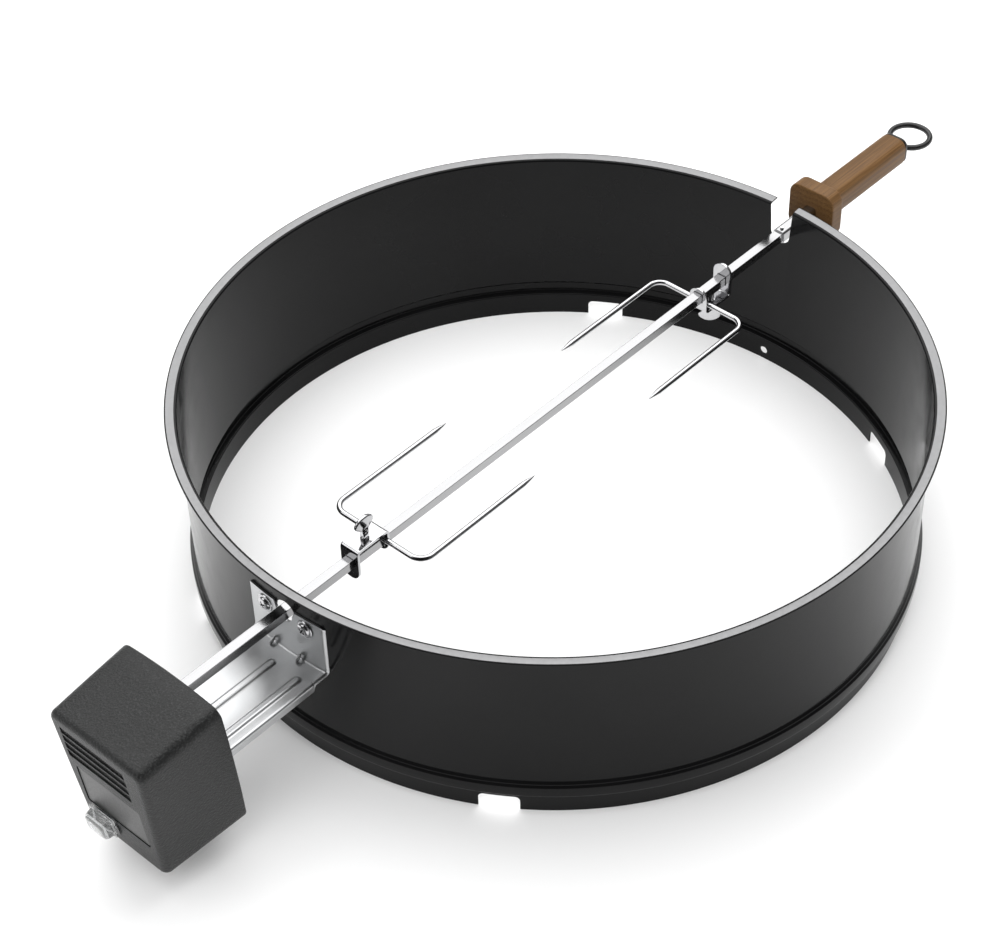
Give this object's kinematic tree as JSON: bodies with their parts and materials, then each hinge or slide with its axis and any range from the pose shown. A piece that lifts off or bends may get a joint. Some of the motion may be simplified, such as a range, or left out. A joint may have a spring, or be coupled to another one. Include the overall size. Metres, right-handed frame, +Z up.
{
  "type": "rotisserie spit roaster",
  "caption": "Open round sheet-steel ring for a kettle barbecue, carrying a motor-driven square spit with sliding meat forks, thumbscrews and a wooden handle.",
  "frame": {"origin": "centre of the ring at its lower edge, on the axis of the skirt that fits the kettle's bowl", "axes": "+X along the spit towards the handle, +Z up"},
  "size_m": [0.9371, 0.58, 0.1663],
  "materials": {
    "enamel": "glossy black vitreous enamel",
    "zinc": "zinc plated",
    "fastener": "bright plated",
    "housing": "fine moulded grain",
    "panel": "smooth blank film",
    "switch": "smooth black",
    "clear": "clear soft boot",
    "seal": "black",
    "core": "laminated steel",
    "winding": "enamelled copper wire",
    "bearing": "sintered bronze",
    "shaft": "ground",
    "gear": "natural acetal",
    "spit": "drawn bright bar",
    "grip": "oiled brown wood",
    "cap": "black",
    "fork": "bright plated"
  },
  "bodies": {
    "frame": {"ring_shell": "enamel", "motor_bracket": "zinc", "bracket_screws": "fastener", "bracket_washers": "fastener", "bracket_nuts": "fastener", "motor_cover": "housing", "motor_plate": "zinc", "cover_screws": "fastener", "hanger_screws": "fastener", "hanger_nuts": "fastener", "rating_plate": "panel", "switch_body": "switch", "switch_boot": "clear", "cord_inlet": "seal", "motor_core": "core", "motor_coil": "winding", "rotor_bridge": "zinc", "core_screws": "fastener", "core_spacers": "fastener", "cage_plate": "zinc", "gear_posts": "zinc", "gear_pins": "fastener", "rotor_bushes": "bearing", "output_bush": "bearing"},
    "spit": {"spit_rod": "spit", "spit_bush": "spit", "bush_screw": "fastener", "handle_grip": "grip", "handle_end_cap": "cap"},
    "drive": {"drive_socket": "gear", "output_gear": "gear"},
    "second_wheel": {"second_gear": "gear"},
    "first_wheel": {"first_gear": "gear"},
    "rotor": {"motor_rotor": "core", "rotor_shaft": "shaft", "motor_pinion": "shaft"},
    "fork_a": {"fork_bracket_a": "fork", "fork_prongs_a": "fork"},
    "fork_b": {"fork_bracket_b": "fork", "fork_prongs_b": "fork"},
    "clamp_a": {"thumbscrew_a": "fork"},
    "clamp_b": {"thumbscrew_b": "fork"},
    "loop": {"hanging_ring": "cap"},
    "rocker": {"switch_rocker": "switch"}
  },
  "joints": [
    {"name": "spit_spin", "type": "hinge", "parent": "frame", "child": "spit", "pos_m": [0, 0, 0.133], "axis": [1, 0, 0], "continuous": true},
    {"name": "drive_spin", "type": "hinge", "parent": "frame", "child": "drive", "pos_m": [-0.4, 0, 0.133], "axis": [1, 0, 0], "continuous": true},
    {"name": "second_spin", "type": "hinge", "parent": "frame", "child": "second_wheel", "pos_m": [-0.4, 0, 0.11755], "axis": [1, 0, 0], "continuous": true},
    {"name": "first_spin", "type": "hinge", "parent": "frame", "child": "first_wheel", "pos_m": [-0.41, 0, 0.1021], "axis": [1, 0, 0], "continuous": true},
    {"name": "rotor_spin", "type": "hinge", "parent": "frame", "child": "rotor", "pos_m": [-0.43, -0.011, 0.0913], "axis": [1, 0, 0], "continuous": true},
    {"name": "fork_a_slide", "type": "slide", "parent": "spit", "child": "fork_a", "axis": [1, 0, 0], "range_m": [-0.055, 0.06]},
    {"name": "fork_b_slide", "type": "slide", "parent": "spit", "child": "fork_b", "axis": [1, 0, 0], "range_m": [-0.06, 0.055]},
    {"name": "clamp_a_turn", "type": "hinge", "parent": "fork_a", "child": "clamp_a", "pos_m": [-0.2025, 0, 0.146], "axis": [0, 0, 1], "range_deg": [0, 360]},
    {"name": "clamp_b_turn", "type": "hinge", "parent": "fork_b", "child": "clamp_b", "pos_m": [0.19, 0, 0.12], "axis": [0, 0, -1], "range_deg": [0, 360]},
    {"name": "loop_swing", "type": "hinge", "parent": "spit", "child": "loop", "pos_m": [0.4475, 0, 0.133], "axis": [0, 1, 0], "range_deg": [-85, 85]},
    {"name": "rocker_tilt", "type": "hinge", "parent": "frame", "child": "rocker", "pos_m": [-0.44146, 0.0175, 0.04599], "axis": [0, -1, 0], "range_deg": [0, 16]}
  ],
  "couplings": [
    {"joint": "drive_spin", "follows": "spit_spin", "ratio": 1},
    {"joint": "second_spin", "follows": "spit_spin", "ratio": -3},
    {"joint": "first_spin", "follows": "spit_spin", "ratio": 9},
    {"joint": "rotor_spin", "follows": "spit_spin", "ratio": -27}
  ]
}
